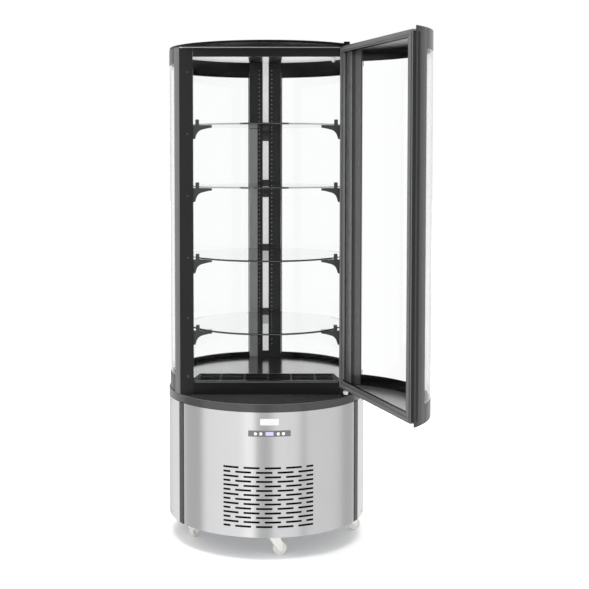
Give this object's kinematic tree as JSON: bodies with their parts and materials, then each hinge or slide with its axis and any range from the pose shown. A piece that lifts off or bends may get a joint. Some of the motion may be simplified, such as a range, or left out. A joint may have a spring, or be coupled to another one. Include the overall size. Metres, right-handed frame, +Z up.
{
  "type": "refrigerated display case",
  "caption": "Round glazed refrigerated display case with a curved hinged door, glass shelves and a steel machine base on casters.",
  "frame": {"origin": "on the floor, under the middle of the box around the case with its door open", "axes": "+Z up; -Y is the front, where the door opening faces; +X is the side of the door's pivot"},
  "size_m": [0.8396, 1.0748, 1.684],
  "materials": {
    "base_pan": "zinc-plated sheet",
    "front_panel": "brushed stainless steel, vertical grain",
    "rear_panel": "brushed stainless steel, vertical grain",
    "trim_left": "black, satin to glossy",
    "trim_right": "black, satin to glossy",
    "deck": "black, satin to glossy",
    "control_bezel": "dark grey painted profile, satin",
    "display_window": "lit violet display lens",
    "button_1": "white, matte",
    "button_2": "white, matte",
    "button_3": "white, matte",
    "button_4": "white, matte",
    "badge_plate": "zinc-plated sheet",
    "compressor": "black painted steel shell",
    "condenser": "bare fins",
    "condenser_fan_shroud": "black, satin to glossy",
    "condenser_fan": "zinc-plated sheet",
    "evaporator_well": "insulated plastic tub",
    "evaporator_coil": "bare fins",
    "evaporator_fan_plate": "zinc-plated sheet",
    "evaporator_fan": "white, matte",
    "post_left": "dark grey painted profile, satin",
    "post_right": "dark grey painted profile, satin",
    "header": "dark grey painted profile, satin",
    "sill": "black, satin to glossy",
    "bottom_band": "black, satin to glossy",
    "top_band": "black, satin to glossy",
    "ceiling": "white, matte",
    "top_cap": "black, satin to glossy",
    "glass_left": "clear glass",
    "glass_right": "clear glass",
    "rear_column": "black, satin to glossy",
    "light_strip": "dark grey painted profile, satin",
    "bracket_rail_left": "black, satin to glossy",
    "bracket_rail_right": "black, satin to glossy",
    "bracket_rail_rear": "white, matte",
    "shelf_1": "clear glass",
    "shelf_2": "clear glass",
    "shelf_3": "clear glass",
    "shelf_4": "clear glass",
    "floor_plate": "brushed stainless steel, vertical grain",
    "air_grille": "black, satin to glossy",
    "lower_hinge_pin": "white, matte",
    "door_frame": "dark grey painted profile, satin",
    "door_gasket": "soft black rubber",
    "door_top": "black, satin to glossy",
    "door_bottom": "black, satin to glossy",
    "door_stile_latch": "dark grey painted profile, satin",
    "door_stile_hinge": "dark grey painted profile, satin",
    "door_glass": "clear glass",
    "caster_fork_front": "zinc-plated sheet",
    "caster_wheel_front": "pale ivory plastic",
    "caster_fork_right": "zinc-plated sheet",
    "caster_wheel_right": "pale ivory plastic",
    "caster_fork_rear_right": "zinc-plated sheet",
    "caster_wheel_rear_right": "pale ivory plastic",
    "caster_fork_rear_left": "zinc-plated sheet",
    "caster_wheel_rear_left": "pale ivory plastic",
    "caster_fork_left": "zinc-plated sheet",
    "caster_wheel_left": "pale ivory plastic"
  },
  "bodies": {
    "case": {"base_pan": "base_pan", "front_panel": "front_panel", "rear_panel": "rear_panel", "trim_left": "trim_left", "trim_right": "trim_right", "deck": "deck", "control_bezel": "control_bezel", "display_window": "display_window", "badge_plate": "badge_plate", "compressor": "compressor", "condenser": "condenser", "condenser_fan_shroud": "condenser_fan_shroud", "evaporator_well": "evaporator_well", "evaporator_coil": "evaporator_coil", "evaporator_fan_plate": "evaporator_fan_plate", "post_left": "post_left", "post_right": "post_right", "header": "header", "sill": "sill", "bottom_band": "bottom_band", "top_band": "top_band", "ceiling": "ceiling", "top_cap": "top_cap", "glass_left": "glass_left", "glass_right": "glass_right", "rear_column": "rear_column", "light_strip": "light_strip", "bracket_rail_left": "bracket_rail_left", "bracket_rail_right": "bracket_rail_right", "bracket_rail_rear": "bracket_rail_rear", "shelf_1": "shelf_1", "shelf_2": "shelf_2", "shelf_3": "shelf_3", "shelf_4": "shelf_4", "floor_plate": "floor_plate", "air_grille": "air_grille", "lower_hinge_pin": "lower_hinge_pin"},
    "door": {"door_frame": "door_frame", "door_gasket": "door_gasket", "door_top": "door_top", "door_bottom": "door_bottom", "door_stile_hinge": "door_stile_hinge", "door_stile_latch": "door_stile_latch", "door_glass": "door_glass"},
    "caster_front": {"caster_fork_front": "caster_fork_front"},
    "wheel_front": {"caster_wheel_front": "caster_wheel_front"},
    "caster_right": {"caster_fork_right": "caster_fork_right"},
    "wheel_right": {"caster_wheel_right": "caster_wheel_right"},
    "caster_rear_right": {"caster_fork_rear_right": "caster_fork_rear_right"},
    "wheel_rear_right": {"caster_wheel_rear_right": "caster_wheel_rear_right"},
    "caster_rear_left": {"caster_fork_rear_left": "caster_fork_rear_left"},
    "wheel_rear_left": {"caster_wheel_rear_left": "caster_wheel_rear_left"},
    "caster_left": {"caster_fork_left": "caster_fork_left"},
    "wheel_left": {"caster_wheel_left": "caster_wheel_left"},
    "button_1": {"button_1": "button_1"},
    "button_2": {"button_2": "button_2"},
    "button_3": {"button_3": "button_3"},
    "button_4": {"button_4": "button_4"},
    "condenser_fan": {"condenser_fan": "condenser_fan"},
    "evaporator_fan": {"evaporator_fan": "evaporator_fan"}
  },
  "joints": [
    {"name": "door_hinge", "type": "hinge", "parent": "case", "child": "door", "pos_m": [0.18364, -0.0056, 1.1], "axis": [0, 0, 1], "range_deg": [-107.6, 10]},
    {"name": "swivel_front", "type": "hinge", "parent": "case", "child": "caster_front", "pos_m": [-0.05992, -0.08691, 0.06], "axis": [0, 0, 1], "continuous": true},
    {"name": "roll_front", "type": "hinge", "parent": "caster_front", "child": "wheel_front", "pos_m": [-0.03674, -0.08069, 0.0225], "axis": [-0.2588, 0.9659, 0], "continuous": true},
    {"name": "swivel_right", "type": "hinge", "parent": "case", "child": "caster_right", "pos_m": [0.20364, 0.16761, 0.06], "axis": [0, 0, 1], "continuous": true},
    {"name": "roll_right", "type": "hinge", "parent": "caster_right", "child": "wheel_right", "pos_m": [0.22619, 0.17582, 0.0225], "axis": [-0.342, 0.9397, 0], "continuous": true},
    {"name": "swivel_rear_right", "type": "hinge", "parent": "case", "child": "caster_rear_right", "pos_m": [0.0627, 0.44422, 0.06], "axis": [0, 0, 1], "continuous": true},
    {"name": "roll_rear_right", "type": "hinge", "parent": "caster_rear_right", "child": "wheel_rear_right", "pos_m": [0.04792, 0.46313, 0.0225], "axis": [-0.788, -0.6157, 0], "continuous": true},
    {"name": "swivel_rear_left", "type": "hinge", "parent": "case", "child": "caster_rear_left", "pos_m": [-0.2705, 0.4092, 0.06], "axis": [0, 0, 1], "continuous": true},
    {"name": "roll_rear_left", "type": "hinge", "parent": "caster_rear_left", "child": "wheel_rear_left", "pos_m": [-0.25061, 0.39578, 0.0225], "axis": [0.5592, 0.829, 0], "continuous": true},
    {"name": "swivel_left", "type": "hinge", "parent": "case", "child": "caster_left", "pos_m": [-0.34016, 0.08148, 0.06], "axis": [0, 0, 1], "continuous": true},
    {"name": "roll_left", "type": "hinge", "parent": "caster_left", "child": "wheel_left", "pos_m": [-0.3241, 0.09932, 0.0225], "axis": [-0.7431, 0.6691, 0], "continuous": true},
    {"name": "button_1_press", "type": "slide", "parent": "case", "child": "button_1", "axis": [0.1042, 0.9946, 0], "range_m": [0, 0.0008], "stiffness_N_per_m": 600, "springref_m": -0.0005},
    {"name": "button_2_press", "type": "slide", "parent": "case", "child": "button_2", "axis": [0.0544, 0.9985, 0], "range_m": [0, 0.0008], "stiffness_N_per_m": 600, "springref_m": -0.0005},
    {"name": "button_3_press", "type": "slide", "parent": "case", "child": "button_3", "axis": [-0.1101, 0.9939, 0], "range_m": [0, 0.0008], "stiffness_N_per_m": 600, "springref_m": -0.0005},
    {"name": "button_4_press", "type": "slide", "parent": "case", "child": "button_4", "axis": [-0.1596, 0.9872, 0], "range_m": [0, 0.0008], "stiffness_N_per_m": 600, "springref_m": -0.0005},
    {"name": "condenser_fan_spin", "type": "hinge", "parent": "case", "child": "condenser_fan", "pos_m": [-0.0798, 0.0074, 0.1783], "axis": [0, 1, 0], "continuous": true},
    {"name": "evaporator_fan_spin", "type": "hinge", "parent": "case", "child": "evaporator_fan", "pos_m": [-0.0798, 0.2024, 0.4303], "axis": [0, 1, 0], "continuous": true}
  ]
}
